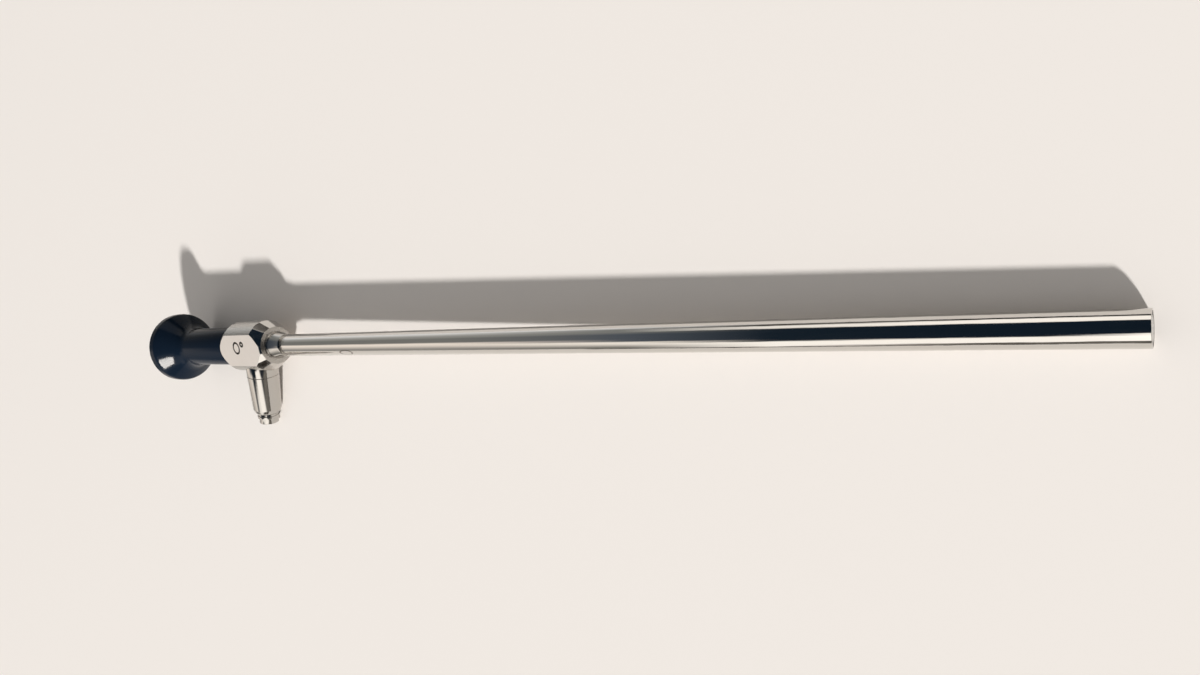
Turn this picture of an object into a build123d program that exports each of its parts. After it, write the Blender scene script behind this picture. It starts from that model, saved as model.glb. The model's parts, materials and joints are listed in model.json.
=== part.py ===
# A rigid endoscope for looking into the abdomen through a small port.
#
# A long steel shaft holds a train of glass rod lenses inside a thin inner tube, with a ring of
# light fibres packed round that tube. The shaft ends in a steel housing with two milled flats and
# a faceted nose. A light post leaves the housing sideways and takes the light cable. A black
# funnel eyepiece closes the other end.
#
# The scope lies on a table as it comes to rest: on the eyepiece rim, the end of the light post and
# the end of the shaft. +X runs towards the tip of the shaft, +Z is up, and the origin is at the
# centre of the footprint, on the table. Stations are measured along the optical axis from the
# front of the ferrule, where the free length of the shaft starts: positive towards the tip,
# negative towards the eye.

import os
from math import asin, atan2, cos, degrees, hypot, radians, sin, sqrt, tan

from build123d import *

os.makedirs("parts", exist_ok=True)

# Clearances
slip_fit = 0.02
lens_fit = 0.03

# Shaft: outer tube, inner optic tube and the glass in it
working_length = 330.0
shaft_diameter = 9.7
shaft_wall = 0.45
shaft_seat_step = 0.2
shaft_relief = 0.1
tip_rounding = 0.15
optic_diameter = 6.6
optic_wall = 0.25
window_thickness = 0.8
fibre_recess = 0.05

objective_front_length = 2.2
objective_rear_length = 4.5
objective_air = 1.6
objective_curve = 7.0
rod_count = 6
rod_length = 46.0
rod_curve = 16.0
rod_rim = 0.4
spacer_wall = 0.3

# Ferrule, where the shaft leaves the housing
ferrule_nose = 7.8
ferrule_wall = 0.45
ferrule_root_wall = 1.65
ferrule_spigot_length = 4.6
ferrule_spigot_wall = 1.2
ferrule_step = 0.8
ferrule_shoulder = 0.25
ferrule_hollow = 0.25

# Housing
body_diameter = 22.9
body_length = 19.4
flat_distance = 8.9
facet_count = 16
facet_ring_diameter = 16.8
facet_slope = 27.0
nose_dish = 0.6
tail_diameter = 17.7
tail_slope = 25.5
chamber_diameter = 12.6
chamber_length = 16.0
spigot_diameter = 13.2
spigot_length = 7.5

# Eyepiece
neck_diameter = 17.6
neck_length = 28.6
rim_diameter = 32.8
rim_width = 4.4
rim_rounding = 0.7
flare_length = 15.2
flare_slope = 44.0
flare_blend = 9.0
eye_cone_mouth = 29.0
eye_cone_depth = 8.6
eye_window_diameter = 11.4
eye_window_thickness = 1.6
window_ring_thickness = 0.9
window_ring_wall = 1.1
barrel_diameter = 10.4
barrel_wall = 0.7
barrel_seat = 5.0
ocular_front_length = 4.2
ocular_rear_length = 2.4
ocular_air = 2.0
ocular_curve = 11.0
ocular_back_focus = 2.5
field_stop_thickness = 0.4
field_stop_aperture = 4.6
field_stop_depth = 6.0

# Rubber rings
ring_section = 0.9
ring_squeeze = 0.1

# Light post, measured along its own axis from the optical axis
post_lean = 10.5
post_diameter = 14.6
post_seat = 8.4
post_length = 14.0
post_edge = 0.15
post_thread_diameter = 11.0
post_thread_length = 8.0
post_bore = 5.6
ferrule_tube_wall = 0.4
sleeve_base_diameter = 14.7
sleeve_end_diameter = 12.3
sleeve_length = 16.6
sleeve_chamfer_length = 2.1
sleeve_bore = 8.4
joint_gap = 0.1
tip_spigot_length = 6.0
catch_groove_diameter = 9.0
catch_groove_width = 1.2
catch_collar_diameter = 9.9
catch_collar_width = 1.2
catch_end_diameter = 8.8
catch_end_width = 2.6
catch_rounding = 0.25

# Radii that follow from the sizes above
shaft_r = shaft_diameter / 2
shaft_seat_r = shaft_r - shaft_seat_step
shaft_bore_r = shaft_r - shaft_wall
optic_r = optic_diameter / 2
optic_bore_r = optic_r - optic_wall
glass_r = optic_bore_r - lens_fit
body_r = body_diameter / 2
facet_ring_r = facet_ring_diameter / 2
tail_r = tail_diameter / 2
neck_r = neck_diameter / 2
rim_r = rim_diameter / 2
barrel_r = barrel_diameter / 2
barrel_bore_r = barrel_r - barrel_wall
post_r = post_diameter / 2
catch_end_r = catch_end_diameter / 2

# Stations along the optical axis
tip_at = working_length
nose_at = -ferrule_nose
spigot_end_at = nose_at - ferrule_spigot_length
chamber_end_at = spigot_end_at - chamber_length
body_front_at = nose_at - (body_r - facet_ring_r) / tan(radians(facet_slope))
body_back_at = body_front_at - body_length
tail_at = body_back_at - (body_r - tail_r) / tan(radians(tail_slope))
flare_at = tail_at - neck_length
rim_front_at = flare_at - flare_length
rim_back_at = rim_front_at - rim_width
eye_cone_at = rim_back_at + eye_cone_depth
window_ring_at = eye_cone_at + window_ring_thickness
barrel_back_at = window_ring_at + eye_window_thickness
barrel_front_at = tail_at + barrel_seat

# Distances along the light post
sleeve_at = post_length + joint_gap
sleeve_end_at = sleeve_at + sleeve_length
groove_at = sleeve_end_at + sleeve_chamfer_length
collar_at = groove_at + catch_groove_width
catch_end_at = collar_at + catch_collar_width
post_end_at = catch_end_at + catch_end_width

# How the scope lies. The shaft slopes down from the rim of the eyepiece to the tip, and the scope
# rolls until the end of the light post meets the table. Each of the three is a rounded edge, a
# ring of radius (radius - rounding) with a tube of radius rounding.
rim_ring_at = rim_front_at - rim_rounding
tip_ring_at = tip_at - tip_rounding
rim_over_tip = (rim_r - rim_rounding) - (shaft_r - tip_rounding)
ring_span = tip_ring_at - rim_ring_at
pitch = atan2(rim_over_tip, ring_span) + asin(
    (rim_rounding - tip_rounding) / hypot(rim_over_tip, ring_span)
)
tip_height = (shaft_r - tip_rounding) * cos(pitch) + tip_rounding
lean = radians(post_lean)
post_root_at = (body_front_at + body_back_at) / 2 + body_r * tan(lean)
post_root_height = tip_height + (tip_ring_at - post_root_at) * sin(pitch)
end_ring_at = post_end_at - catch_rounding
end_ring_r = catch_end_r - catch_rounding
post_dip = asin(
    (post_root_height - catch_rounding) / hypot(end_ring_at, end_ring_r)
) - atan2(end_ring_r, end_ring_at)
roll = asin((sin(post_dip) + sin(lean) * sin(pitch)) / (cos(lean) * cos(pitch)))

# Directions in the resting pose
forward = Vector(cos(pitch), 0, -sin(pitch))
above = Vector(sin(pitch), 0, cos(pitch))
aside = Vector(0, -1, 0)
post_side = aside * cos(roll) - above * sin(roll)
flat_side = above * cos(roll) + aside * sin(roll)
post_way = post_side * cos(lean) - forward * sin(lean)


def reach(centre, axis, ring_r, rounding, way):
    """How far a rounded edge reaches in one direction."""
    return centre.dot(way) + ring_r * sqrt(1 - axis.dot(way) ** 2) + rounding


x_way, y_way = Vector(1, 0, 0), Vector(0, 1, 0)
rim_back_ring = forward * (rim_back_at + rim_rounding)
x_high = reach(forward * tip_ring_at, forward, shaft_r - tip_rounding, tip_rounding, x_way)
x_low = -reach(rim_back_ring, forward, rim_r - rim_rounding, rim_rounding, -x_way)
y_high = reach(rim_back_ring, forward, rim_r - rim_rounding, rim_rounding, y_way)
post_end_ring = forward * post_root_at + post_way * end_ring_at
y_low = -reach(post_end_ring, post_way, end_ring_r, catch_rounding, -y_way)

# The point on the optical axis at station 0
root = Vector(
    -(x_high + x_low) / 2,
    -(y_high + y_low) / 2,
    tip_height + tip_ring_at * sin(pitch),
)

# Half sections are drawn with the station across and the radius up, and spun about the axis
optical_axis = Axis(root, forward)
half_section = Plane(root, x_dir=forward, z_dir=post_side)
post_root = root + forward * post_root_at
post_axis = Axis(post_root, post_way)
post_section = Plane(post_root, x_dir=post_way, z_dir=flat_side)


def across(station):
    """The plane square to the optical axis, with its x towards one milled flat."""
    return Plane(root + forward * station, x_dir=flat_side, z_dir=forward)


def post_across(distance):
    """The plane square to the light post at a distance from the optical axis."""
    return Plane(post_root + post_way * distance, x_dir=flat_side, z_dir=post_way)


# Outer tube of the shaft: drawn stainless steel tube with a rounded end, turned down where it
# sits in the ferrule, with a shoulder and a narrow relief in front of it
with BuildPart() as shaft_tube:
    with BuildSketch(across(shaft_relief)):
        Circle(shaft_r)
    extrude(amount=tip_at - shaft_relief)
    end_edge = shaft_tube.edges().sort_by(optical_axis)[-1]
    fillet(end_edge, radius=tip_rounding)
    with BuildSketch(across(spigot_end_at)):
        Circle(shaft_seat_r)
    extrude(amount=shaft_relief - spigot_end_at)
    with BuildSketch(across(spigot_end_at)):
        Circle(shaft_bore_r)
    extrude(amount=tip_at - spigot_end_at, mode=Mode.SUBTRACT)
shaft_tube.part.label = "shaft_tube"
export_step(shaft_tube.part, "parts/shaft_tube.step")

# Inner tube that holds all the glass of the shaft
optic_back_at = barrel_front_at + lens_fit
with BuildPart() as optic_tube:
    with BuildSketch(across(optic_back_at)):
        Circle(optic_r)
        Circle(optic_bore_r, mode=Mode.SUBTRACT)
    extrude(amount=tip_at - fibre_recess - optic_back_at)
optic_tube.part.label = "optic_tube"
export_step(optic_tube.part, "parts/optic_tube.step")

# Sapphire window in the tip, level with the polished end
window_back_at = tip_at - fibre_recess - window_thickness
with BuildPart() as distal_window:
    with BuildSketch(across(window_back_at)):
        Circle(glass_r)
    extrude(amount=window_thickness)
distal_window.part.label = "distal_window"
export_step(distal_window.part, "parts/distal_window.step")

# Front lens of the objective: flat against the window, hollow behind
objective_front_at = window_back_at - objective_front_length
with BuildPart() as objective_front_lens:
    with BuildSketch(half_section):
        with BuildLine():
            hollow_edge = objective_front_at
            hollow_depth = objective_curve - sqrt(objective_curve**2 - (glass_r - rod_rim) ** 2)
            Polyline(
                (hollow_edge + hollow_depth, 0),
                (window_back_at, 0),
                (window_back_at, glass_r),
                (hollow_edge, glass_r),
                (hollow_edge, glass_r - rod_rim),
            )
            RadiusArc(
                (hollow_edge, glass_r - rod_rim),
                (hollow_edge + hollow_depth, 0),
                objective_curve,
            )
        make_face()
    revolve(axis=optical_axis)
objective_front_lens.part.label = "objective_front_lens"
export_step(objective_front_lens.part, "parts/objective_front_lens.step")


def ground_lens(back_at, front_at, rim_r, curve):
    """A lens that bulges at both ends from a ground rim."""
    clear_r = rim_r - rod_rim
    bulge = curve - sqrt(curve**2 - clear_r**2)
    with BuildPart() as lens:
        with BuildSketch(half_section):
            with BuildLine():
                Line((back_at - bulge, 0), (front_at + bulge, 0))
                RadiusArc((front_at + bulge, 0), (front_at, clear_r), -curve)
                Polyline((front_at, clear_r), (front_at, rim_r), (back_at, rim_r), (back_at, clear_r))
                RadiusArc((back_at, clear_r), (back_at - bulge, 0), -curve)
            make_face()
        revolve(axis=optical_axis)
    return lens


# Spacer and rear lens of the objective
objective_rear_front_at = objective_front_at - objective_air
objective_rear_back_at = objective_rear_front_at - objective_rear_length
with BuildPart() as objective_spacer:
    with BuildSketch(across(objective_rear_front_at)):
        Circle(glass_r)
        Circle(glass_r - spacer_wall, mode=Mode.SUBTRACT)
    extrude(amount=objective_air)
objective_spacer.part.label = "objective_spacer"
export_step(objective_spacer.part, "parts/objective_spacer.step")

objective_rear_lens = ground_lens(
    objective_rear_back_at, objective_rear_front_at, glass_r, rod_curve
)
objective_rear_lens.part.label = "objective_rear_lens"
export_step(objective_rear_lens.part, "parts/objective_rear_lens.step")

# Relay: glass rods with spacer tubes in front of each of them
rod_pitch = (objective_rear_back_at - optic_back_at) / rod_count
for number in range(rod_count):
    rod_back_at = optic_back_at + number * rod_pitch
    rod_front_at = rod_back_at + rod_length
    rod_lens = ground_lens(rod_back_at, rod_front_at, glass_r, rod_curve)
    rod_lens.part.label = f"rod_lens_{number + 1}"
    export_step(rod_lens.part, f"parts/rod_lens_{number + 1}.step")

    with BuildPart() as rod_spacer:
        with BuildSketch(across(rod_front_at)):
            Circle(glass_r)
            Circle(glass_r - spacer_wall, mode=Mode.SUBTRACT)
        extrude(amount=rod_pitch - rod_length)
    rod_spacer.part.label = f"rod_spacer_{number + 1}"
    export_step(rod_spacer.part, f"parts/rod_spacer_{number + 1}.step")

# Light fibres: a ring round the inner tube, gathered into one round bundle in the post
fibre_outer_r = shaft_bore_r - slip_fit
fibre_inner_r = optic_r + slip_fit
bundle_r = post_bore / 2 - slip_fit - ferrule_tube_wall - slip_fit
with BuildPart() as light_fibres:
    with BuildSketch(across(chamber_end_at)):
        Circle(fibre_outer_r)
    extrude(amount=tip_at - fibre_recess - chamber_end_at)
    with BuildSketch(post_across(0)):
        Circle(bundle_r)
    extrude(amount=post_end_at - fibre_recess)
    with BuildSketch(across(chamber_end_at)):
        Circle(fibre_inner_r)
    extrude(amount=tip_at - chamber_end_at, mode=Mode.SUBTRACT)
light_fibres.part = Part(light_fibres.part.solids().sort_by(SortBy.VOLUME)[-1].wrapped)
light_fibres.part.label = "light_fibres"
export_step(light_fibres.part, "parts/light_fibres.step")

# Ferrule: turned steel cone that steps down from the housing to the shaft
ferrule_bore_r = shaft_seat_r + slip_fit
ferrule_spigot_r = ferrule_bore_r + ferrule_spigot_wall
ferrule_root_r = ferrule_bore_r + ferrule_root_wall
with BuildPart() as ferrule:
    with BuildSketch(half_section):
        with BuildLine():
            Polyline(
                (0, ferrule_bore_r + ferrule_wall),
                (0, ferrule_bore_r),
                (spigot_end_at, ferrule_bore_r),
                (spigot_end_at, ferrule_spigot_r),
                (nose_at, ferrule_spigot_r),
                (nose_at, ferrule_root_r),
                (nose_at + ferrule_step, ferrule_root_r),
                (nose_at + ferrule_step, ferrule_root_r - ferrule_shoulder),
            )
            throat = (nose_at + ferrule_step, ferrule_root_r - ferrule_shoulder)
            lip = (0, ferrule_bore_r + ferrule_wall)
            SagittaArc(throat, lip, -ferrule_hollow)
        make_face()
    revolve(axis=optical_axis)
ferrule.part.label = "ferrule"
export_step(ferrule.part, "parts/ferrule.step")

# Housing: one turned and milled steel body
spigot_r = spigot_diameter / 2
spigot_back_at = tail_at - spigot_length
ring_groove_r = spigot_r - ring_section + ring_squeeze
ring_at = spigot_back_at + 2 * ring_section
with BuildPart() as housing:
    with BuildSketch(half_section):
        with BuildLine():
            Polyline(
                (nose_at - nose_dish, ferrule_spigot_r + slip_fit),
                (nose_at, facet_ring_r - nose_dish),
                (nose_at, body_r),
                (body_back_at, body_r),
                (tail_at, tail_r),
                (tail_at, spigot_r),
                (ring_at + ring_section, spigot_r),
                (ring_at + ring_section, ring_groove_r),
                (ring_at - ring_section / 2, ring_groove_r),
                (ring_at - ring_section / 2, spigot_r),
                (spigot_back_at, spigot_r),
                (spigot_back_at, barrel_r + slip_fit),
                (barrel_front_at, barrel_r + slip_fit),
                (barrel_front_at, optic_r + slip_fit),
                (chamber_end_at, optic_r + slip_fit),
                (chamber_end_at, chamber_diameter / 2),
                (spigot_end_at, chamber_diameter / 2),
                (spigot_end_at, ferrule_spigot_r + slip_fit),
                close=True,
            )
        make_face()
    revolve(axis=optical_axis)
    # The nose is ground to a ring of flat facets
    facet_spread = (nose_at - spigot_back_at) * tan(radians(facet_slope))
    with BuildSketch(across(spigot_back_at)):
        RegularPolygon(
            facet_ring_r + facet_spread, facet_count, major_radius=False, rotation=180 / facet_count
        )
    extrude(amount=nose_at - spigot_back_at, taper=facet_slope, mode=Mode.INTERSECT)
    # Two milled flats, square to the light post
    with BuildSketch(across(tail_at)):
        for side in (1, -1):
            with Locations((side * (flat_distance + body_r), 0)):
                Rectangle(2 * body_r, 2 * body_diameter)
    extrude(amount=nose_at - tail_at, mode=Mode.SUBTRACT)
    # Seat and bore of the light post
    with BuildSketch(post_across(post_seat)):
        Circle(post_r + slip_fit)
    extrude(amount=body_diameter, mode=Mode.SUBTRACT)
    with BuildSketch(post_across(optic_r)):
        Circle(post_bore / 2)
    extrude(amount=body_diameter, mode=Mode.SUBTRACT)
housing.part.label = "housing"
export_step(housing.part, "parts/housing.step")

# Light post: the steel stub that is set into the housing, with a thread for the adapter
thread_r = post_thread_diameter / 2
thread_end_at = post_length + post_thread_length
post_ring_at = post_length + 2 * ring_section
post_groove_r = thread_r - ring_section + ring_squeeze
with BuildPart() as light_post:
    with BuildSketch(post_section):
        with BuildLine():
            Polyline(
                (post_seat, post_bore / 2),
                (post_seat, post_r),
                (post_length - post_edge, post_r),
                (post_length, post_r - post_edge),
                (post_length, thread_r),
                (post_ring_at - ring_section / 2, thread_r),
                (post_ring_at - ring_section / 2, post_groove_r),
                (post_ring_at + ring_section, post_groove_r),
                (post_ring_at + ring_section, thread_r),
                (thread_end_at, thread_r),
                (thread_end_at, post_bore / 2),
                close=True,
            )
        make_face()
    revolve(axis=post_axis)
light_post.part.label = "light_post"
export_step(light_post.part, "parts/light_post.step")

# Adapter sleeve: a tapered steel collar screwed on the post
sleeve_base_r = sleeve_base_diameter / 2
sleeve_end_r = sleeve_end_diameter / 2
collar_r = catch_collar_diameter / 2
thread_relief_at = thread_end_at + slip_fit
with BuildPart() as adapter_sleeve:
    with BuildSketch(post_section):
        with BuildLine():
            Polyline(
                (sleeve_at, thread_r + slip_fit),
                (sleeve_at, sleeve_base_r - post_edge),
                (sleeve_at + post_edge, sleeve_base_r),
                (sleeve_end_at, sleeve_end_r),
                (groove_at, collar_r + slip_fit),
                (groove_at, sleeve_bore / 2),
                (thread_relief_at, sleeve_bore / 2),
                (thread_relief_at, thread_r + slip_fit),
                close=True,
            )
        make_face()
    revolve(axis=post_axis)
adapter_sleeve.part.label = "adapter_sleeve"
export_step(adapter_sleeve.part, "parts/adapter_sleeve.step")

# Adapter tip: the grooved end that the light cable snaps on
groove_r = catch_groove_diameter / 2
with BuildPart() as adapter_tip:
    with BuildSketch(post_section):
        with BuildLine():
            Polyline(
                (groove_at - tip_spigot_length, post_bore / 2),
                (groove_at - tip_spigot_length, sleeve_bore / 2 - slip_fit),
                (groove_at, sleeve_bore / 2 - slip_fit),
                (groove_at, groove_r),
                (collar_at, groove_r),
                (collar_at, collar_r),
                (catch_end_at, collar_r),
                (catch_end_at, catch_end_r),
                (post_end_at - catch_rounding, catch_end_r),
            )
            ThreePointArc(
                (post_end_at - catch_rounding, catch_end_r),
                (
                    post_end_at - catch_rounding * (1 - sqrt(0.5)),
                    catch_end_r - catch_rounding * (1 - sqrt(0.5)),
                ),
                (post_end_at, catch_end_r - catch_rounding),
            )
            Polyline(
                (post_end_at, catch_end_r - catch_rounding),
                (post_end_at, post_bore / 2),
                (groove_at - tip_spigot_length, post_bore / 2),
            )
        make_face()
    revolve(axis=post_axis)
adapter_tip.part.label = "adapter_tip"
export_step(adapter_tip.part, "parts/adapter_tip.step")

# Thin tube that grips the fibre bundle in the post
fibre_tube_r = post_bore / 2 - slip_fit
with BuildPart() as fibre_tube:
    with BuildSketch(post_across(post_seat)):
        Circle(fibre_tube_r)
        Circle(fibre_tube_r - ferrule_tube_wall, mode=Mode.SUBTRACT)
    extrude(amount=post_end_at - fibre_recess - post_seat)
fibre_tube.part.label = "fibre_tube"
export_step(fibre_tube.part, "parts/fibre_tube.step")

# Square rubber ring that seals the adapter on the post
ring_height = ring_section - ring_squeeze
with BuildPart() as post_seal:
    with BuildSketch(post_section):
        with Locations((post_ring_at + ring_section / 4, post_groove_r + ring_height / 2)):
            Rectangle(ring_section, ring_height)
    revolve(axis=post_axis)
post_seal.part.label = "post_seal"
export_step(post_seal.part, "parts/post_seal.step")

# Square rubber ring that seals the eyepiece on the housing
with BuildPart() as eyepiece_seal:
    with BuildSketch(half_section):
        with Locations((ring_at + ring_section / 4, ring_groove_r + ring_height / 2)):
            Rectangle(ring_section, ring_height)
    revolve(axis=optical_axis)
eyepiece_seal.part.label = "eyepiece_seal"
export_step(eyepiece_seal.part, "parts/eyepiece_seal.step")

# Eyepiece cup: black funnel with a neck, a trumpet flare and a hollow cone for the eye
eye_window_r = eye_window_diameter / 2
flare_tan = tan(radians(flare_slope))
with BuildPart() as eyepiece_cup:
    with BuildSketch(half_section):
        with BuildLine():
            outline = FilletPolyline(
                (tail_at, neck_r),
                (rim_front_at + (rim_r - neck_r) / flare_tan, neck_r),
                (rim_front_at, rim_r - rim_rounding),
                radius=flare_blend,
            )
            Polyline(
                outline @ 1,
                (rim_front_at, rim_r),
                (rim_back_at, rim_r),
                (rim_back_at, eye_cone_mouth / 2),
                (eye_cone_at, eye_window_r + slip_fit),
                (barrel_back_at, eye_window_r + slip_fit),
                (barrel_back_at, barrel_r + slip_fit),
                (spigot_back_at, barrel_r + slip_fit),
                (spigot_back_at, spigot_r + slip_fit),
                (tail_at, spigot_r + slip_fit),
                (tail_at, neck_r),
            )
        make_face()
    revolve(axis=optical_axis)
    rim_edges = eyepiece_cup.edges().filter_by(GeomType.CIRCLE).filter_by(
        lambda edge: abs(edge.radius - rim_r) < slip_fit
    )
    fillet(rim_edges, radius=rim_rounding * 0.98)
eyepiece_cup.part.label = "eyepiece_cup"
export_step(eyepiece_cup.part, "parts/eyepiece_cup.step")

# Ocular barrel: the tube that carries the eyepiece lenses
with BuildPart() as ocular_barrel:
    with BuildSketch(across(barrel_back_at)):
        Circle(barrel_r)
        Circle(barrel_bore_r, mode=Mode.SUBTRACT)
    extrude(amount=barrel_front_at - barrel_back_at)
ocular_barrel.part.label = "ocular_barrel"
export_step(ocular_barrel.part, "parts/ocular_barrel.step")

# Ocular lenses with their spacer, and the field stop that gives the picture its round edge
ocular_glass_r = barrel_bore_r - lens_fit
ocular_rear_back_at = barrel_back_at + ocular_back_focus
ocular_rear_front_at = ocular_rear_back_at + ocular_rear_length
ocular_front_back_at = ocular_rear_front_at + ocular_air
ocular_front_front_at = ocular_front_back_at + ocular_front_length
ocular_rear_lens = ground_lens(
    ocular_rear_back_at, ocular_rear_front_at, ocular_glass_r, ocular_curve
)
ocular_rear_lens.part.label = "ocular_rear_lens"
export_step(ocular_rear_lens.part, "parts/ocular_rear_lens.step")

with BuildPart() as ocular_spacer:
    with BuildSketch(across(ocular_rear_front_at)):
        Circle(ocular_glass_r)
        Circle(ocular_glass_r - rod_rim, mode=Mode.SUBTRACT)
    extrude(amount=ocular_air)
ocular_spacer.part.label = "ocular_spacer"
export_step(ocular_spacer.part, "parts/ocular_spacer.step")

ocular_front_lens = ground_lens(
    ocular_front_back_at, ocular_front_front_at, ocular_glass_r, ocular_curve
)
ocular_front_lens.part.label = "ocular_front_lens"
export_step(ocular_front_lens.part, "parts/ocular_front_lens.step")

field_stop_at = barrel_front_at - field_stop_depth
with BuildPart() as field_stop:
    with BuildSketch(across(field_stop_at)):
        Circle(ocular_glass_r)
        Circle(field_stop_aperture / 2, mode=Mode.SUBTRACT)
    extrude(amount=field_stop_thickness)
field_stop.part.label = "field_stop"
export_step(field_stop.part, "parts/field_stop.step")

# Sapphire eyepiece window and the ring that holds it
with BuildPart() as eyepiece_window:
    with BuildSketch(across(window_ring_at)):
        Circle(eye_window_r)
    extrude(amount=eye_window_thickness)
eyepiece_window.part.label = "eyepiece_window"
export_step(eyepiece_window.part, "parts/eyepiece_window.step")

with BuildPart() as window_ring:
    with BuildSketch(across(eye_cone_at)):
        Circle(eye_window_r)
        Circle(eye_window_r - window_ring_wall, mode=Mode.SUBTRACT)
    extrude(amount=window_ring_thickness)
window_ring.part.label = "window_ring"
export_step(window_ring.part, "parts/window_ring.step")

print("pitch", round(degrees(pitch), 3), "roll", round(degrees(roll), 3))
print("length from rim to tip", round(tip_at - rim_back_at, 2))
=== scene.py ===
# A rigid endoscope for looking into the abdomen, lying on a pale table.
#
# A long polished steel shaft leaves a steel housing with two satin flats and a ground, faceted
# nose. A light post with its adapter stands out of the side of the housing, and a black funnel
# closes the eye end. The sections below follow the scope from the table and the light to the
# shaft, the housing, the light post and the eyepiece. Lengths are in millimetres until a mesh or
# a lamp needs metres. Stations run along the optical axis from the front of the ferrule, positive
# towards the tip.

import json
from math import cos, degrees, pi, radians, sin, tan

import bmesh
import bpy
from mathutils import Matrix, Vector


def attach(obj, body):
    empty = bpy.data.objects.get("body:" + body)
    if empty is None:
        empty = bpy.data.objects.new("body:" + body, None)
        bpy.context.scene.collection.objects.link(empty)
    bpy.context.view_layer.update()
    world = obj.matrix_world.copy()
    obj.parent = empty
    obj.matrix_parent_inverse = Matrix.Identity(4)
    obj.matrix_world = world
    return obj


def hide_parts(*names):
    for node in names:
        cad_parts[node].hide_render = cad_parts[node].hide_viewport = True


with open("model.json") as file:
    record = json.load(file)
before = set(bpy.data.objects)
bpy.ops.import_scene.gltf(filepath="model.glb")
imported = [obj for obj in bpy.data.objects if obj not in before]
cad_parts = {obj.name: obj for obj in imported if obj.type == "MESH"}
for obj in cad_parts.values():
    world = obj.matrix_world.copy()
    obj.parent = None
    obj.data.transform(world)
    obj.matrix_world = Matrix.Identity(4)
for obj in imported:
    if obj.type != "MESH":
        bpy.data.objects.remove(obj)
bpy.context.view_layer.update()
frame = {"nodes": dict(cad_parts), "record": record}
nodes = frame["nodes"]
MM = 0.001

# Table
# The scope lies on a smooth pale table top, a laminate with a faint warm tint. It is matt, so it
# takes a soft shadow and shows no reflections.


def linear(colour):
    """A colour written as sRGB hex, such as #c8c6c2, as the linear values that shaders take."""
    parts = [int(colour[at:at + 2], 16) / 255 for at in (1, 3, 5)]
    return [p / 12.92 if p <= 0.04045 else ((p + 0.055) / 1.055) ** 2.4 for p in parts] + [1.0]


def add(tree, kind, inputs=None, **settings):
    """Adds a node. Each entry of inputs is a value, or the output of another node."""
    node = tree.nodes.new("ShaderNode" + kind)
    for name, value in settings.items():
        setattr(node, name, value)
    for name, value in (inputs or {}).items():
        if isinstance(value, bpy.types.NodeSocket):
            tree.links.new(value, node.inputs[name])
        else:
            node.inputs[name].default_value = value
    return node


def material(name):
    """A new material, with the node tree that its shader goes into."""
    finish = bpy.data.materials.new(name)
    finish.use_nodes = True
    finish.node_tree.nodes.clear()
    return finish, finish.node_tree


def flat_card(name, centre, across, along, finish):
    """A rectangle for the stage, given by its centre and two half sides."""
    corners = [centre + across * i + along * j for i, j in ((-1, -1), (1, -1), (1, 1), (-1, 1))]
    mesh = bpy.data.meshes.new(name)
    mesh.from_pydata([c * MM for c in corners], [], [(0, 1, 2, 3)])
    card = bpy.data.objects.new(name, mesh)
    bpy.context.scene.collection.objects.link(card)
    mesh.materials.append(finish)
    return card


table_colour = "#f0e9e2"
table_reach = 12000.0
under_scope = 0.02
laminate, tree = material("matt_pale_laminate")
shader = add(tree, "BsdfPrincipled", {
    "Base Color": linear(table_colour), "Roughness": 0.8, "Specular IOR Level": 0.1,
})
add(tree, "OutputMaterial", {"Surface": shader.outputs["BSDF"]})
flat_card(
    "table_top", Vector((0, 0, -under_scope)), Vector((table_reach, 0, 0)),
    Vector((0, table_reach, 0)), laminate,
)

# Light
# A bright room with one window, low on the side of the light post. The window is a lamp that
# throws the soft shadow, and the room is the world. Together they light the table to the level
# at which its colour renders as written.
window_place = Vector((19675, -28900, 19513))
window_size = 2435.0
window_share, room_share = 0.65, 0.35
room_lean = 0.9

world = bpy.data.worlds.new("pale_room")
bpy.context.scene.world = world
world.use_nodes = True
tree = world.node_tree
tree.nodes.clear()
# Eyes, mirrors and glass see a backdrop in the colour of the table
rays = add(tree, "LightPath")
seen = add(tree, "Math", {
    0: rays.outputs["Is Camera Ray"], 1: rays.outputs["Is Glossy Ray"],
}, operation="MAXIMUM")
seen = add(tree, "Math", {
    0: seen.outputs[0], 1: rays.outputs["Is Transmission Ray"],
}, operation="MAXIMUM")
backdrop = add(tree, "Background", {"Color": linear(table_colour), "Strength": 1.0})
# The room is brightest on the window side, so a tall piece darkens the table behind it
way = add(tree, "TexCoord")
way = add(tree, "SeparateXYZ", {0: way.outputs["Generated"]})
brightness = add(tree, "MapRange", {
    "Value": way.outputs["Y"], 1: -1.0, 2: 1.0,
    3: room_share * (1 + room_lean), 4: room_share * (1 - room_lean),
})
room = add(tree, "Background", {
    "Color": linear("#ffffff"), "Strength": brightness.outputs["Result"],
})
mixed = add(tree, "MixShader", {0: seen.outputs[0], 1: room.outputs[0], 2: backdrop.outputs[0]})
add(tree, "OutputWorld", {"Surface": mixed.outputs[0]})

lamp = bpy.data.lights.new("window_light", "AREA")
lamp.shape = "DISK"
lamp.size = window_size * MM
window_distance = window_place.length * MM
window_slope = window_place.z / window_place.length
lamp.energy = window_share * pi * pi * window_distance ** 2 / window_slope
window_light = bpy.data.objects.new("window_light", lamp)
window_light.location = window_place * MM
window_light.rotation_euler = window_place.to_track_quat("Z", "Y").to_euler()
window_light.visible_glossy = False
window_light.visible_camera = False
bpy.context.scene.collection.objects.link(window_light)

# Room in the reflections
# Polished steel shows what stands round it: a dark ceiling above, a bright window wall on the
# side of the light post, a bright wall opposite, and greyer walls beyond the two ends. Only
# reflections see this dome, so it doesn't light the scope or throw shadows.


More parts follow.
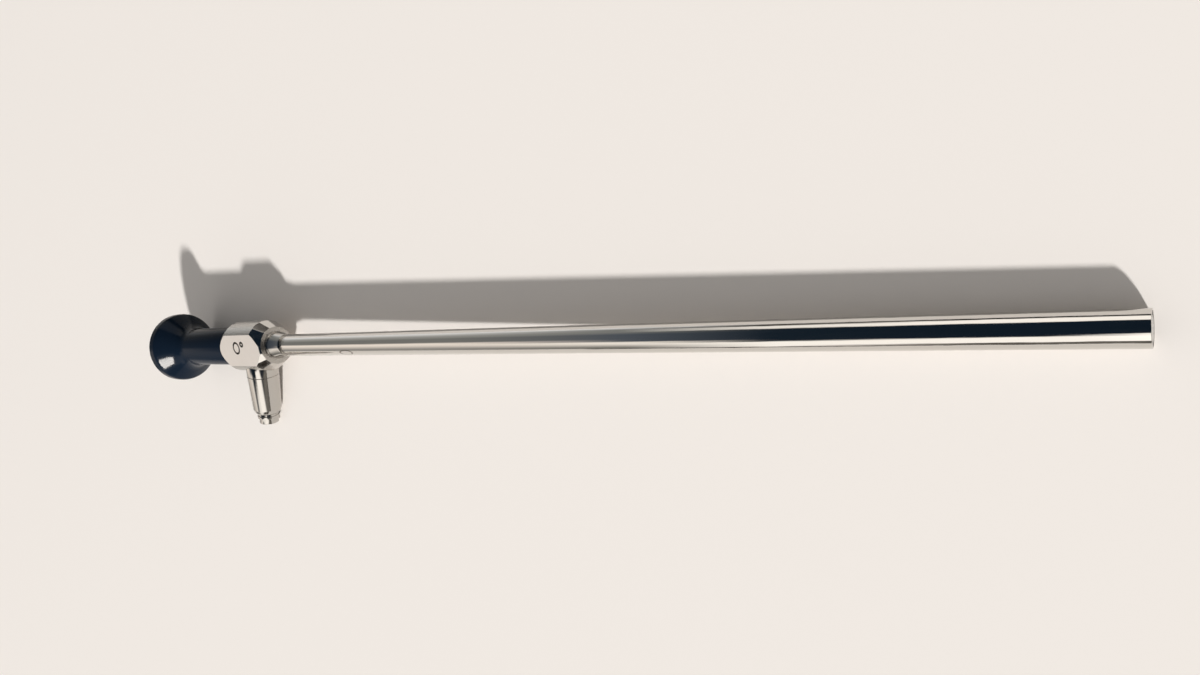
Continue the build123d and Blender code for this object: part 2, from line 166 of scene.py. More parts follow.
def only_reflected(thing):
    """Keeps a piece of the stage out of everything but reflections."""
    thing.visible_camera = thing.visible_diffuse = thing.visible_shadow = False
    thing.visible_transmission = thing.visible_volume_scatter = False


# For slopes along the room, from the eye end (-1) to the tip end (1), the tones met on the way
# from the table on the window side (-90 degrees), over the ceiling (0), to the table on the other
# side (90). Each is an angle, a colour and a brightness.
wall, ceiling, skirting, far_floor = "#fffaf4", "#14202c", "#4a4440", "#8a857e"
row_over_shaft = (
    (-90, skirting, 0.7), (-84, skirting, 0.5), (-77, skirting, 0.5), (-72, wall, 1.46),
    (-41, wall, 1.46), (-35, ceiling, 1.1), (47, ceiling, 1.1), (52, wall, 1.42),
    (74, wall, 1.42), (79, skirting, 0.6), (87, skirting, 0.6), (90, far_floor, 1.0),
)
dome_rows = (
    (-0.80, (
        (-90, "#c9c3bb", 1.0), (-80, "#fff4ea", 1.2), (-20, "#fff4ea", 1.2),
        (-4, "#8a8a87", 0.95), (25, "#8a8a87", 0.95), (45, "#a5a5a2", 1.0), (90, "#9c9a96", 1.0),
    )),
    (-0.60, (
        (-90, "#b8b2aa", 1.0), (-84, "#fff8f0", 1.32), (-34, "#fff8f0", 1.32),
        (-24, "#5b626c", 1.0), (25, "#5b626c", 1.0), (50, "#8b8d8c", 0.95),
        (70, "#8b8d8c", 0.95), (90, "#7b7a76", 1.0),
    )),
    (-0.42, (
        (-90, skirting, 0.8), (-86, skirting, 0.8), (-82, wall, 1.44), (-46, wall, 1.44),
        (-41, "#1b2733", 1.0), (46, "#1b2733", 1.0), (52, wall, 1.2), (69, wall, 1.2),
        (73, skirting, 0.7), (80, skirting, 0.7), (86, far_floor, 0.9), (90, far_floor, 0.9),
    )),
    (-0.20, row_over_shaft),
    (-0.05, row_over_shaft),
    (0.04, (
        (-90, skirting, 0.7), (-84, skirting, 0.5), (-77, skirting, 0.5), (-72, wall, 1.72),
        (-30, wall, 1.72), (-26, ceiling, 1.0), (48, ceiling, 1.0), (53, wall, 1.42),
        (74, wall, 1.42), (79, skirting, 0.6), (87, skirting, 0.6), (90, far_floor, 1.0),
    )),
    (0.43, (
        (-90, skirting, 0.8), (-72, skirting, 0.8), (-64, wall, 1.72), (-30, wall, 1.72),
        (-26, ceiling, 1.0), (50, ceiling, 1.0), (56, wall, 1.28), (76, wall, 1.28),
        (82, skirting, 0.8), (90, far_floor, 1.0),
    )),
    (0.56, (
        (-90, "#6a655f", 1.0), (-66, "#6a655f", 1.0), (-50, "#3c3f44", 1.0), (-30, ceiling, 1.1),
        (50, ceiling, 1.1), (58, "#e8e2da", 1.0), (78, "#e8e2da", 1.0), (90, far_floor, 1.0),
    )),
    (0.85, (
        (-90, far_floor, 1.0), (-66, "#b4aea6", 1.0), (-48, "#1b2733", 1.0),
        (40, "#1b2733", 1.0), (66, "#b4aea6", 1.0), (90, far_floor, 1.0),
    )),
)
room_tones, tree = material("room_tones")
way = add(tree, "NewGeometry")
way = add(tree, "VectorMath", {0: way.outputs["Position"]}, operation="NORMALIZE")
way = add(tree, "SeparateXYZ", {0: way.outputs["Vector"]})
swing = add(tree, "Math", {0: way.outputs["Y"], 1: way.outputs["Z"]}, operation="ARCTAN2")
swing = add(tree, "MapRange", {
    "Value": swing.outputs[0], 1: -pi / 2, 2: pi / 2, 3: 0.0, 4: 1.0,
})
tone = None
for row, (row_slope, stops) in enumerate(dome_rows):
    ramp = add(tree, "ValToRGB", {"Fac": swing.outputs["Result"]})
    ramp.color_ramp.interpolation = "EASE"
    placed = dict(zip((-90, 90), ramp.color_ramp.elements))
    for angle, colour, strength in stops:
        stop = placed.get(angle) or ramp.color_ramp.elements.new((angle + 90) / 180)
        stop.color = [part * strength for part in linear(colour)[:3]] + [1.0]
    if tone is None:
        tone = ramp.outputs["Color"]
        continue
    share = add(tree, "MapRange", {
        "Value": way.outputs["X"], 1: dome_rows[row - 1][0], 2: row_slope, 3: 0.0, 4: 1.0,
    })
    tone = add(tree, "Mix", {
        "Factor": share.outputs["Result"], "A": tone, "B": ramp.outputs["Color"],
    }, data_type="RGBA").outputs["Result"]
glow = add(tree, "Emission", {"Color": tone, "Strength": 1.0})
add(tree, "OutputMaterial", {"Surface": glow.outputs[0]})

dome_r = 9500
dome_shape = bmesh.new()
bmesh.ops.create_uvsphere(dome_shape, u_segments=96, v_segments=48, radius=dome_r * MM)
dome_mesh = bpy.data.meshes.new("room_dome")
dome_shape.to_mesh(dome_mesh)
dome_shape.free()
dome_mesh.materials.append(room_tones)
room_dome = bpy.data.objects.new("room_dome", dome_mesh)
bpy.context.scene.collection.objects.link(room_dome)
only_reflected(room_dome)

# The table ends in a dark edge on the window side, which draws a thin line low on the shaft
table_edge_half = Vector((420, 0, 0))
table_edge_up = Vector((0, 0, 11))
table_edge_middle = Vector((180, -330, 11))
dark_edge, tree = material("dark_floor_beyond")
shader = add(tree, "BsdfDiffuse", {"Color": linear("#35302c")})
add(tree, "OutputMaterial", {"Surface": shader.outputs["BSDF"]})
only_reflected(flat_card(
    "dark_table_edge", table_edge_middle, table_edge_half, table_edge_up, dark_edge,
))

# The window itself is a bright pane, a sharp highlight that only the black funnel shows
pane_way = Vector((0.29, -0.755, 0.588))
pane_distance = 8000.0
pane_half_angles = radians(8.5), radians(12)
pane_strength = 125.0
pane = bpy.data.lights.new("window_pane", "AREA")
pane.shape = "RECTANGLE"
pane.size = 2 * pane_distance * tan(pane_half_angles[0]) * MM
pane.size_y = 2 * pane_distance * tan(pane_half_angles[1]) * MM
pane.color = linear("#fff3e2")[:3]
pane.energy = pane_strength * pi * pane.size * pane.size_y
window_pane = bpy.data.objects.new("window_pane", pane)
window_pane.location = pane_way.normalized() * pane_distance * MM
window_pane.rotation_euler = window_pane.location.to_track_quat("Z", "Y").to_euler()
window_pane.visible_camera = window_pane.visible_diffuse = False
window_pane.visible_transmission = False
bpy.context.scene.collection.objects.link(window_pane)
shows_window = bpy.data.collections.new("shows_window")
window_pane.light_linking.receiver_collection = shows_window

# Camera
# The photograph looks down on the scope from beyond the tip of the shaft, with a wide lens close
# to it, so the far end looks smaller. The camera keeps its place over the tip of the shaft.
mounts = {mount["name"]: mount for mount in frame["record"]["mounts"]}
shaft_way = Vector(mounts["shaft"]["axis"]).normalized()
working_length = 330.0
shaft_relief = 0.1
tip_rounding = 0.15
shaft_middle = (shaft_relief + working_length - tip_rounding) / 2
axis_root = Vector(mounts["shaft"]["pos_m"]) / MM - shaft_way * shaft_middle
shaft_tip = axis_root + shaft_way * working_length
camera_over_tip = Vector((22.504, -7.736, 247.602))
aim_from_tip = Vector((-166.230, 0.800, -4.844))
camera_roll = radians(-0.06)
lens_length = 27.0
film_width = 36.0
look = (aim_from_tip - camera_over_tip).normalized()
picture_right = look.cross(Vector((0, 1, 0))).normalized()
picture_up = picture_right.cross(look)
turned_by = Matrix((picture_right, picture_up, -look)).transposed()
turned_by = turned_by @ Matrix.Rotation(camera_roll, 3, "Z")
optics = bpy.data.cameras.new("camera")
optics.lens = lens_length
optics.sensor_width = film_width
optics.clip_start, optics.clip_end = 0.01, 100.0
camera = bpy.data.objects.new("camera", optics)
camera.matrix_world = (
    Matrix.Translation((shaft_tip + camera_over_tip) * MM) @ turned_by.to_4x4()
)
bpy.context.scene.collection.objects.link(camera)
bpy.context.scene.camera = camera
bpy.context.scene.view_settings.view_transform = "Standard"

# Shaft
# A thin stainless steel tube, drawn and then polished lengthwise, so that it mirrors the room in
# long straight bands. Its edge at the tip is rounded, and it is turned down a little where it
# sits in the ferrule.
post_way = Vector(mounts["light_post_end"]["axis"]).normalized()
flat_way = post_way.cross(shaft_way).normalized()


def stem(root, way, up):
    """The place of a turned piece: local X is its axis, and local Z points to up."""
    return Matrix.Translation(root * MM) @ Matrix((way, up.cross(way), up)).transposed().to_4x4()


def broken_edges(profile, closed, edge):
    """A profile whose corners are rounded, each by its own third value or else by edge."""
    least_turn, most_of_side = radians(6), 0.48
    corners = [Vector(point[:2]) for point in profile]
    rounds = [point[2] if len(point) > 2 else edge for point in profile]
    path = []
    for at, corner in enumerate(corners):
        if not closed and at in (0, len(corners) - 1):
            path.append(corner)
            continue
        back = corners[at - 1] - corner
        on = corners[(at + 1) % len(corners)] - corner
        turn = pi - back.angle(on)
        if turn < least_turn or rounds[at] == 0:
            path.append(corner)
            continue
        cut = min(
            rounds[at] * tan(turn / 2), most_of_side * back.length, most_of_side * on.length,
        )
        back, on = back.normalized(), on.normalized()
        centre = corner + (back + on).normalized() * cut / sin(turn / 2)
        spoke = corner + back * cut - centre
        hand = 1 if (-back).cross(on) > 0 else -1
        # A large round takes a step for every 6 degrees, and a broken edge takes 3 steps
        steps = max(3, round(degrees(turn) / 6)) if rounds[at] > 2 * edge else 3
        for step in range(steps + 1):
            path.append(centre + Matrix.Rotation(hand * turn * step / steps, 2) @ spoke)
    return path


def turned(profile, sides, closed=True, edge=0.08):
    """The mesh of a piece turned on a lathe, from a profile of stations and radii."""
    shape = bmesh.new()
    rings = []
    for station, radius in broken_edges(profile, closed, edge):
        count = sides if radius > 1e-6 else 1
        turns = [2 * pi * k / sides for k in range(count)]
        rings.append([
            shape.verts.new((station * MM, -radius * MM * sin(turn), radius * MM * cos(turn)))
            for turn in turns
        ])
    for ring, following in zip(rings, rings[1:] + (rings[:1] if closed else [])):
        for k in range(sides):
            after = (k + 1) % sides
            corners = (
                ring[k % len(ring)], ring[after % len(ring)],
                following[after % len(following)], following[k % len(following)],
            )
            shape.faces.new(list(dict.fromkeys(corners)))
    bmesh.ops.recalc_face_normals(shape, faces=shape.faces)
    return shape


def made(name, shape, place, finishes, replaced):
    """The object of a mesh, with its finishes, riding the scope in the place of its CAD node.

    Each point keeps its place on its own axis, so that the finishes can follow the piece.
    """
    own_place = shape.verts.layers.float_vector.new("own_place")
    for vert in shape.verts:
        vert[own_place] = vert.co
    shape.transform(place)
    mesh = bpy.data.meshes.new(name)
    shape.to_mesh(mesh)
    shape.free()
    for finish in finishes:
        mesh.materials.append(finish)
    mesh.shade_smooth()
    piece = bpy.data.objects.new(name, mesh)
    bpy.context.scene.collection.objects.link(piece)
    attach(piece, "root")
    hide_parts(replaced)
    return piece


def repeats(*lengths):
    """The scale at which a pattern repeats over these lengths along X, Y and Z."""
    return tuple(1 / (length * MM) for length in lengths)


axis_place = stem(axis_root, shaft_way, flat_way)
shaft_r = 4.85
shaft_seat_r = 4.65
shaft_bore_r = 4.4
spigot_end_at = -12.4

# Polished lengthwise: a mirror, with a faint grain of drawn lines about 0.4 mm apart that frays
# the edges of the bands, and fine scratches from use that dull it in places. The lines of the
# real one are finer, and are drawn this coarse to show.
polished_tube, tree = material("drawn_and_polished_stainless_steel")
spot = add(tree, "Attribute", attribute_name="own_place")
grain = add(tree, "Mapping", {"Vector": spot.outputs["Vector"], "Scale": repeats(12, 0.4, 0.4)})
grain = add(tree, "TexNoise", {"Vector": grain.outputs[0], "Scale": 1.0, "Detail": 3.0})
relief = add(tree, "Bump", {
    "Height": grain.outputs["Fac"], "Strength": 0.16, "Distance": 0.06 * MM,
})
scratches = add(tree, "Mapping", {
    "Vector": spot.outputs["Vector"], "Scale": repeats(20, 0.9, 0.9),
})
scratches = add(tree, "TexNoise", {
    "Vector": scratches.outputs[0], "Scale": 1.0, "Detail": 5.0, "Roughness": 0.7,
})
dulled = add(tree, "MapRange", {
    "Value": scratches.outputs["Fac"], 1: 0.35, 2: 0.75, 3: 0.05, 4: 0.12,
})
# A small oval outline is etched on the shaft near the ferrule. Its station, its turn round the
# shaft, its length and width, and the share of the width that its line takes:
oval_at, oval_turn, oval_length, oval_width, oval_line = 43.6, radians(35.3), 7.4, 2.6, 0.14
local = add(tree, "SeparateXYZ", {0: spot.outputs["Vector"]})
along = add(tree, "MapRange", {
    "Value": local.outputs["X"], 1: (oval_at - oval_length / 2) * MM,
    2: (oval_at + oval_length / 2) * MM, 3: -1.0, 4: 1.0,
}, clamp=False)
about = add(tree, "Math", {0: local.outputs["Y"], 1: -1.0}, operation="MULTIPLY")
about = add(tree, "Math", {0: about.outputs[0], 1: local.outputs["Z"]}, operation="ARCTAN2")
oval_reach = oval_width / 2 / shaft_r
about = add(tree, "MapRange", {
    "Value": about.outputs[0], 1: oval_turn - oval_reach, 2: oval_turn + oval_reach,
    3: -1.0, 4: 1.0,
}, clamp=False)
from_middle = add(tree, "CombineXYZ", {
    "X": along.outputs["Result"], "Y": about.outputs["Result"], "Z": 0.0,
})
from_middle = add(tree, "VectorMath", {0: from_middle.outputs[0]}, operation="LENGTH")
etched = add(tree, "Math", {
    0: from_middle.outputs["Value"], 1: 1.0, 2: oval_line,
}, operation="COMPARE")
steel_colour = add(tree, "Mix", {
    "Factor": etched.outputs[0], "A": linear("#d3d0cb"), "B": linear("#7d756c"),
}, data_type="RGBA")
shader = add(tree, "BsdfPrincipled", {
    "Base Color": steel_colour.outputs["Result"], "Metallic": 1.0,
    "Roughness": dulled.outputs["Result"], "Normal": relief.outputs[0],
})
add(tree, "OutputMaterial", {"Surface": shader.outputs["BSDF"]})

made("polished_shaft", turned((
    (working_length, shaft_bore_r), (working_length, shaft_r, tip_rounding),
    (shaft_relief, shaft_r), (shaft_relief, shaft_seat_r), (spigot_end_at, shaft_seat_r),
    (spigot_end_at, shaft_bore_r),
), 192, edge=0.04), axis_place, [polished_tube], "shaft_tube")

# Tip of the shaft
# The ends of the light fibres are ground and polished level with the tube, round the thin inner
# tube that holds the window and the glass rods. The pieces from here on that show only at the
# tip, at the post or in the eye cone keep their CAD shapes and get the finishes below.

# Thousands of glass fibres in black epoxy, ground flat, show as a fine speckle. Real fibres are
# 0.05 mm thick and are drawn here at 0.16 mm, so that the speckle shows.
fibre_ends, tree = material("polished_fibre_ends_in_epoxy")
spot = add(tree, "TexCoord")
cells = add(tree, "TexVoronoi", {"Vector": spot.outputs["Object"], "Scale": 1 / (0.16 * MM)})
bright = add(tree, "MapRange", {
    "Value": cells.outputs["Distance"], 1: 0.25, 2: 0.5, 3: 1.0, 4: 0.0,
})
fibre_tone = add(tree, "Mix", {
    "Factor": bright.outputs["Result"], "A": linear("#15130f"), "B": linear("#6b6453"),
}, data_type="RGBA")
shader = add(tree, "BsdfPrincipled", {
    "Base Color": fibre_tone.outputs["Result"], "Roughness": 0.3, "Specular IOR Level": 0.05,
})
add(tree, "OutputMaterial", {"Surface": shader.outputs["BSDF"]})

# Sapphire, ground, polished and coated against glare: clear and hard, with a clean weak
# reflection
sapphire, tree = material("polished_sapphire")
shader = add(tree, "BsdfPrincipled", {
    "Base Color": linear("#f4f6f8"), "Roughness": 0.02, "IOR": 1.77, "Transmission Weight": 1.0,
    "Specular IOR Level": 0.15,
})
add(tree, "OutputMaterial", {"Surface": shader.outputs["BSDF"]})

# Optical glass of the rods and lenses, polished at the ends: clear, with a faint cold tint
optical_glass, tree = material("polished_optical_glass")
shader = add(tree, "BsdfPrincipled", {
    "Base Color": linear("#e9f0f0"), "Roughness": 0.03, "IOR": 1.62, "Transmission Weight": 1.0,
})
add(tree, "OutputMaterial", {"Surface": shader.outputs["BSDF"]})

# Thin stainless tube as drawn: bright but not polished, with lines 0.2 mm apart
drawn_tube, tree = material("drawn_stainless_steel")
spot = add(tree, "TexCoord")
lines = add(tree, "Mapping", {"Vector": spot.outputs["Object"], "Scale": repeats(10, 0.2, 0.2)})
lines = add(tree, "TexNoise", {"Vector": lines.outputs[0], "Scale": 1.0, "Detail": 4.0})
drawn_rough = add(tree, "MapRange", {
    "Value": lines.outputs["Fac"], 1: 0.3, 2: 0.7, 3: 0.22, 4: 0.38,
})
shader = add(tree, "BsdfPrincipled", {
    "Base Color": linear("#c9c5bf"), "Metallic": 1.0, "Roughness": drawn_rough.outputs["Result"],
})
add(tree, "OutputMaterial", {"Surface": shader.outputs["BSDF"]})

# Blackened metal, dark and matt, so that no stray light reaches the eye, mottled over 0.6 mm
blackened, tree = material("blackened_metal")
spot = add(tree, "TexCoord")
mottle = add(tree, "TexNoise", {
    "Vector": spot.outputs["Object"], "Scale": 1 / (0.6 * MM), "Detail": 3.0,
})
black_tone = add(tree, "Mix", {
    "Factor": mottle.outputs["Fac"], "A": linear("#141414"), "B": linear("#24211e"),
}, data_type="RGBA")
shader = add(tree, "BsdfPrincipled", {
    "Base Color": black_tone.outputs["Result"], "Metallic": 0.3, "Roughness": 0.42,
})
add(tree, "OutputMaterial", {"Surface": shader.outputs["BSDF"]})

# Moulded silicone rubber, dark grey and matt, with a faint bloom in patches of 0.8 mm
rubber, tree = material("moulded_silicone_rubber")
spot = add(tree, "TexCoord")
bloom = add(tree, "TexNoise", {
    "Vector": spot.outputs["Object"], "Scale": 1 / (0.8 * MM), "Detail": 4.0,
})
rubber_tone = add(tree, "Mix", {
    "Factor": bloom.outputs["Fac"], "A": linear("#1d1d1e"), "B": linear("#2b2b2c"),
}, data_type="RGBA")
shader = add(tree, "BsdfPrincipled", {
    "Base Color": rubber_tone.outputs["Result"], "Roughness": 0.62,
})
add(tree, "OutputMaterial", {"Surface": shader.outputs["BSDF"]})

node_finishes = {
    "inner_steel": drawn_tube, "fibre_glass": fibre_ends, "sapphire": sapphire,
    "lens_glass": optical_glass, "seal_rubber": rubber, "blackened_aluminium": blackened,
    "blackened_brass": blackened,
}
own_pieces = (
    "shaft_tube", "ferrule", "housing", "light_post", "adapter_sleeve", "adapter_tip",
    "eyepiece_cup",
)
for sub in frame["record"]["subparts"]:
    if sub["node"] not in own_pieces:
        node = nodes[sub["node"]]
        node.data.materials.clear()
        node.data.materials.append(node_finishes.get(sub["material_slot"], drawn_tube))

# Ferrule
# A turned steel cone between the housing and the shaft, brazed to both, with a slightly hollow
# side and a narrow flange against the housing. It is turned and buffed, so it mirrors the room
# in arcs.
nose_at = -7.8
ferrule_bore_r = 4.67
ferrule_lip_r = 5.12
ferrule_root_r = 6.32
ferrule_spigot_r = 5.87
flange_front_at = -7.0
throat_r = 6.2
hollow_depth = 0.1
hollow_steps = 9

# Turned and buffed: a mirror with fine rings about 0.25 mm apart across the axis
buffed, tree = material("turned_and_buffed_stainless_steel")
spot = add(tree, "Attribute", attribute_name="own_place")
rings = add(tree, "Mapping", {"Vector": spot.outputs["Vector"], "Scale": repeats(0.25, 6, 6)})
rings = add(tree, "TexNoise", {"Vector": rings.outputs[0], "Scale": 1.0, "Detail": 2.0})
relief = add(tree, "Bump", {
    "Height": rings.outputs["Fac"], "Strength": 0.06, "Distance": 0.05 * MM,
})
handled = add(tree, "TexNoise", {
    "Vector": spot.outputs["Vector"], "Scale": 1 / (3 * MM), "Detail": 5.0, "Roughness": 0.65,
})
buffed_rough = add(tree, "MapRange", {
    "Value": handled.outputs["Fac"], 1: 0.35, 2: 0.75, 3: 0.07, 4: 0.15,
})
shader = add(tree, "BsdfPrincipled", {
    "Base Color": linear("#c0bdb8"), "Metallic": 1.0, "Roughness": buffed_rough.outputs["Result"],
    "Normal": relief.outputs[0],
})
add(tree, "OutputMaterial", {"Surface": shader.outputs["BSDF"]})

hollow = []
for step in range(1, hollow_steps):
    t = step / hollow_steps
    straight = throat_r + (ferrule_lip_r - throat_r) * t
    hollow.append((flange_front_at * (1 - t), straight - 4 * hollow_depth * t * (1 - t), 0))
made("buffed_ferrule", turned((
    (0, ferrule_bore_r), (spigot_end_at, ferrule_bore_r), (spigot_end_at, ferrule_spigot_r),
    (nose_at, ferrule_spigot_r), (nose_at, ferrule_root_r), (flange_front_at, ferrule_root_r),
    (flange_front_at, throat_r), *hollow, (0, ferrule_lip_r),
), 160, edge=0.05), axis_place, [buffed], "ferrule")

# Housing
# One turned steel body. Two flats are milled on it, square to the light post, and blasted with
# glass beads to a pale satin. The nose is ground to a ring of 16 facets and polished. The round
# sides keep the fine lengthwise lines of the belt that brushed them.
body_r = 11.45
body_back_at, tail_at = -33.186, -38.637
tail_r = 8.85
flat_distance = 8.9
facet_count = 16
facet_ring_r = 8.4
facet_slope = radians(27)
nose_face_r = facet_ring_r - 0.6
housing_edge = 0.2

# Brushed lengthwise: satin, with lines about 0.3 mm apart
brushed, tree = material("brushed_stainless_steel")
spot = add(tree, "Attribute", attribute_name="own_place")
lines = add(tree, "Mapping", {"Vector": spot.outputs["Vector"], "Scale": repeats(14, 0.3, 0.3)})
lines = add(tree, "TexNoise", {
    "Vector": lines.outputs[0], "Scale": 1.0, "Detail": 4.0, "Roughness": 0.6,
})
relief = add(tree, "Bump", {
    "Height": lines.outputs["Fac"], "Strength": 0.12, "Distance": 0.1 * MM,
})
brushed_tone = add(tree, "Mix", {
    "Factor": lines.outputs["Fac"], "A": linear("#a09d98"), "B": linear("#bfbcb7"),
}, data_type="RGBA")
brushed_rough = add(tree, "MapRange", {
    "Value": lines.outputs["Fac"], 1: 0.3, 2: 0.7, 3: 0.2, 4: 0.34,
})
shader = add(tree, "BsdfPrincipled", {
    "Base Color": brushed_tone.outputs["Result"], "Metallic": 1.0,
    "Roughness": brushed_rough.outputs["Result"], "Normal": relief.outputs[0],
})
add(tree, "OutputMaterial", {"Surface": shader.outputs["BSDF"]})

# Bead blasted: an even pale satin, with a faint cloud over 6 mm and a fine pitted grain. Real
# pits are about 0.05 mm across and are drawn here at 0.12 mm, so that they show.
blasted, tree = material("bead_blasted_stainless_steel")
spot = add(tree, "Attribute", attribute_name="own_place")
pits = add(tree, "TexNoise", {
    "Vector": spot.outputs["Vector"], "Scale": 1 / (0.12 * MM), "Detail": 2.0,
})
relief = add(tree, "Bump", {
    "Height": pits.outputs["Fac"], "Strength": 0.15, "Distance": 0.04 * MM,
})
cloud = add(tree, "TexNoise", {
    "Vector": spot.outputs["Vector"], "Scale": 1 / (6 * MM), "Detail": 3.0,
})
blasted_tone = add(tree, "Mix", {
    "Factor": cloud.outputs["Fac"], "A": linear("#f0ece8"), "B": linear("#f7f4f0"),
}, data_type="RGBA")
# The direction of view of the scope, 0 degrees, is marked on the upper flat by laser, dark grey
# and matt. It is drawn as two rings, given by their middles and half sizes.
mark_at, mark_side = -25.5, 1.2
zero_middle, zero_half = (0.0, 0.0), (2.1, 2.5)
degree_middle, degree_half = (4.4, 1.7), (0.9, 0.9)
line_width = 0.95
local = add(tree, "SeparateXYZ", {0: spot.outputs["Vector"]})
marks = []
for middle, half in ((zero_middle, zero_half), (degree_middle, degree_half)):
    side = add(tree, "MapRange", {
        "Value": local.outputs["X"], 1: (mark_at + middle[0] - half[0]) * MM,
        2: (mark_at + middle[0] + half[0]) * MM, 3: -1.0, 4: 1.0,
    }, clamp=False)
    height = add(tree, "MapRange", {
        "Value": local.outputs["Y"], 1: (mark_side + middle[1] - half[1]) * MM,
        2: (mark_side + middle[1] + half[1]) * MM, 3: -1.0, 4: 1.0,
    }, clamp=False)
    from_middle = add(tree, "CombineXYZ", {
        "X": side.outputs["Result"], "Y": height.outputs["Result"], "Z": 0.0,
    })
    from_middle = add(tree, "VectorMath", {0: from_middle.outputs[0]}, operation="LENGTH")
    marks.append(add(tree, "Math", {
        0: from_middle.outputs["Value"], 1: 1.0, 2: line_width / 2 / half[1],
    }, operation="COMPARE"))
marked = add(tree, "Math", {
    0: marks[0].outputs[0], 1: marks[1].outputs[0],
}, operation="MAXIMUM")
upper = add(tree, "Math", {0: local.outputs["Z"], 1: 0.0}, operation="GREATER_THAN")
marked = add(tree, "Math", {0: marked.outputs[0], 1: upper.outputs[0]}, operation="MULTIPLY")
blasted_tone = add(tree, "Mix", {
    "Factor": marked.outputs[0], "A": blasted_tone.outputs["Result"], "B": linear("#262422"),
}, data_type="RGBA")
shader = add(tree, "BsdfPrincipled", {
    "Base Color": blasted_tone.outputs["Result"], "Metallic": 1.0, "Roughness": 0.42,
    "Normal": relief.outputs[0],
})
add(tree, "OutputMaterial", {"Surface": shader.outputs["BSDF"]})

# Ground and polished: the facets are clean mirrors with the faintest haze, uneven over 2 mm
faceted, tree = material("ground_and_polished_stainless_steel")
spot = add(tree, "Attribute", attribute_name="own_place")
haze = add(tree, "TexNoise", {
    "Vector": spot.outputs["Vector"], "Scale": 1 / (2 * MM), "Detail": 5.0,
})
haze_rough = add(tree, "MapRange", {
    "Value": haze.outputs["Fac"], 1: 0.35, 2: 0.7, 3: 0.05, 4: 0.11,
})
shader = add(tree, "BsdfPrincipled", {
    "Base Color": linear("#cfccc7"), "Metallic": 1.0, "Roughness": haze_rough.outputs["Result"],
})
add(tree, "OutputMaterial", {"Surface": shader.outputs["BSDF"]})

body = turned((
    (nose_at, 0), (nose_at, nose_face_r), (nose_at, body_r), (body_back_at, body_r),
    (tail_at, tail_r), (tail_at, 0),
), 128, closed=False, edge=0)


def cut_flat(shape, point, outward, finish_index):
    """Cuts a plane off a solid mesh and closes it with one flat face."""
    bmesh.ops.bisect_plane(
        shape, geom=shape.verts[:] + shape.edges[:] + shape.faces[:], dist=1e-7,
        plane_co=point * MM, plane_no=outward, clear_outer=True,
    )
    edges = [edge for edge in shape.edges if edge.is_boundary]
    for face in bmesh.ops.holes_fill(shape, edges=edges, sides=0)["faces"]:
        face.material_index = finish_index


housing_finishes = [brushed, faceted, blasted]
for facet in range(facet_count):
    angle = 2 * pi * facet / facet_count
    outward = Vector((0, -sin(angle), cos(angle)))
    slant = outward * cos(facet_slope) + Vector((sin(facet_slope), 0, 0))
    on_ring = Vector((nose_at, 0, 0)) + outward * facet_ring_r
    cut_flat(body, on_ring, slant, housing_finishes.index(faceted))
for side in (1, -1):
    outward = Vector((0, 0, side))
    cut_flat(body, outward * flat_distance, outward, housing_finishes.index(blasted))
# The cuts leave points closer together than the rounded edges are wide
least_side, least_edge = 0.09, 0.01
bmesh.ops.remove_doubles(body, verts=body.verts, dist=least_side * MM)
bmesh.ops.dissolve_degenerate(body, edges=body.edges, dist=least_edge * MM)
housing = made(
    "faceted_housing", body, axis_place, housing_finishes, "housing",
)
rounding = housing.modifiers.new("broken_edges", "BEVEL")
rounding.width = housing_edge * MM
rounding.segments = 3
rounding.limit_method = "ANGLE"
rounding.angle_limit = radians(10)
rounding.harden_normals = True

# Light post
# A turned steel stub, pressed and brazed into the side of the housing, that the light fibres
# leave through. It leans towards the eye and is buffed bright.
post_at = -21.364
post_place = stem(axis_root + shaft_way * post_at, post_way, flat_way)
post_r = 7.1
post_seat, post_length = 8.4, 14.0
post_thread_r = 5.5
post_bore_r = 2.8
thread_end_at = 22.0
made("buffed_light_post", turned((
    (post_seat, post_bore_r), (post_seat, post_r), (post_length, post_r, 0.15),
    (post_length, post_thread_r), (thread_end_at, post_thread_r), (thread_end_at, post_bore_r),
), 160, edge=0.06), post_place, [buffed], "light_post")

# Adapter of the light post
# A tapered steel sleeve is screwed on the post, and leaves a hair line at the joint. Its small
# end holds the grooved tip that the light cable snaps on, with the fibre bundle level in it.
joint_gap = 0.1
sleeve_start_at, sleeve_waist_at, sleeve_end_at = post_length + joint_gap, 30.6, 32.0
groove_at, collar_at, catch_end_at, post_end_at = 32.8, 34.0, 35.2, 37.8
sleeve_base_r, sleeve_waist_r, sleeve_end_r, sleeve_bore_r = 7.1, 6.38, 5.85, 4.2
collar_r, groove_r, catch_end_r = 4.95, 4.5, 4.4
sleeve_lip_r = collar_r + 0.25
sliding_fit = 0.02
tip_seat = 26.8
thread_bore_r = post_thread_r + sliding_fit
thread_bore_at = thread_end_at + sliding_fit
tip_spigot_r = sleeve_bore_r - sliding_fit
made("tapered_adapter_sleeve", turned((
    (sleeve_start_at, thread_bore_r), (sleeve_start_at, sleeve_base_r, 0.15),
    (sleeve_waist_at, sleeve_waist_r, 0.2), (sleeve_end_at, sleeve_end_r),
    (groove_at, sleeve_lip_r), (groove_at, sleeve_bore_r), (thread_bore_at, sleeve_bore_r),
    (thread_bore_at, thread_bore_r),
), 160, edge=0.06), post_place, [buffed], "adapter_sleeve")
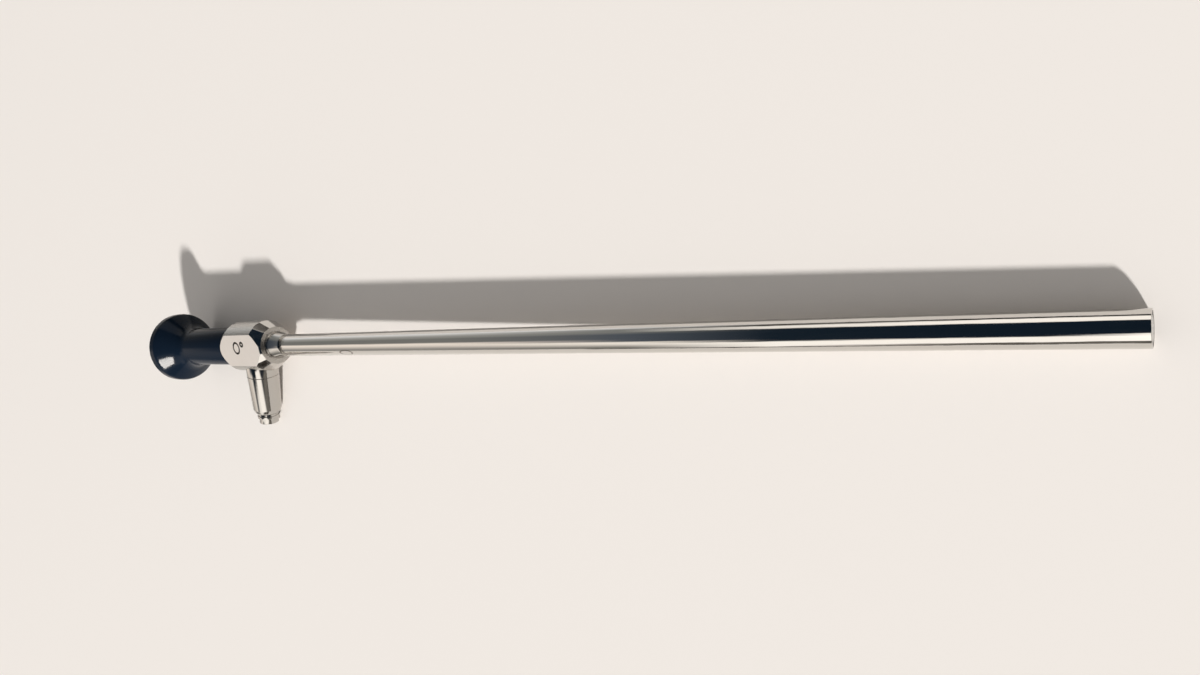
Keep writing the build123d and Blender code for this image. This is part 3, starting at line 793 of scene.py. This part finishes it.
made("grooved_adapter_tip", turned((
    (tip_seat, post_bore_r), (tip_seat, tip_spigot_r), (groove_at, tip_spigot_r),
    (groove_at, groove_r), (collar_at, groove_r), (collar_at, collar_r), (catch_end_at, collar_r),
    (catch_end_at, catch_end_r), (post_end_at, catch_end_r, 0.25), (post_end_at, post_bore_r),
), 160, edge=0.1), post_place, [buffed], "adapter_tip")

# Eyepiece
# A black funnel that the eye or a camera coupler sits against, turned from a bar of PEEK and
# tumbled smooth, and screwed and sealed on the tail of the housing.

# Turned and tumbled plastic shines softly, with the faint rings of the tool 0.4 mm apart left
# in it, and dull patches of 4 mm where it is handled
peek, tree = material("turned_black_peek")
spot = add(tree, "Attribute", attribute_name="own_place")
rings = add(tree, "Mapping", {"Vector": spot.outputs["Vector"], "Scale": repeats(0.4, 10, 10)})
rings = add(tree, "TexNoise", {"Vector": rings.outputs[0], "Scale": 1.0, "Detail": 2.0})
relief = add(tree, "Bump", {
    "Height": rings.outputs["Fac"], "Strength": 0.04, "Distance": 0.05 * MM,
})
handled = add(tree, "TexNoise", {
    "Vector": spot.outputs["Vector"], "Scale": 1 / (4 * MM), "Detail": 5.0, "Roughness": 0.6,
})
peek_rough = add(tree, "MapRange", {
    "Value": handled.outputs["Fac"], 1: 0.3, 2: 0.75, 3: 0.1, 4: 0.17,
})
shader = add(tree, "BsdfPrincipled", {
    "Base Color": linear("#0e1824"), "Roughness": peek_rough.outputs["Result"],
    "Specular IOR Level": 0.09, "Specular Tint": linear("#dfe4ee"),
    "Normal": relief.outputs[0],
})
add(tree, "OutputMaterial", {"Surface": shader.outputs["BSDF"]})

neck_r = 8.8
rim_r = 16.4
rim_front_at, rim_back_at = -82.437, -86.837
rim_front_rounding, rim_back_rounding = 3.0, 0.68
flare_blend, flare_slope = 17.0, radians(44)
flare_start_at = rim_front_at + (rim_r - neck_r) / tan(flare_slope)
eye_cone_r, eye_cone_at = 14.5, -78.237
window_seat_r, window_front_at = 5.72, -75.737
barrel_seat_r, spigot_back_at, spigot_seat_r = 5.22, -46.137, 6.62
funnel = made("black_eyepiece_funnel", turned((
    (tail_at, neck_r, 0.2), (flare_start_at, neck_r, flare_blend),
    (rim_front_at, rim_r, rim_front_rounding), (rim_back_at, rim_r, rim_back_rounding),
    (rim_back_at, eye_cone_r, 0.5), (eye_cone_at, window_seat_r),
    (window_front_at, window_seat_r), (window_front_at, barrel_seat_r),
    (spigot_back_at, barrel_seat_r), (spigot_back_at, spigot_seat_r), (tail_at, spigot_seat_r),
), 192, edge=0.1), axis_place, [peek], "eyepiece_cup")
shows_window.objects.link(funnel)
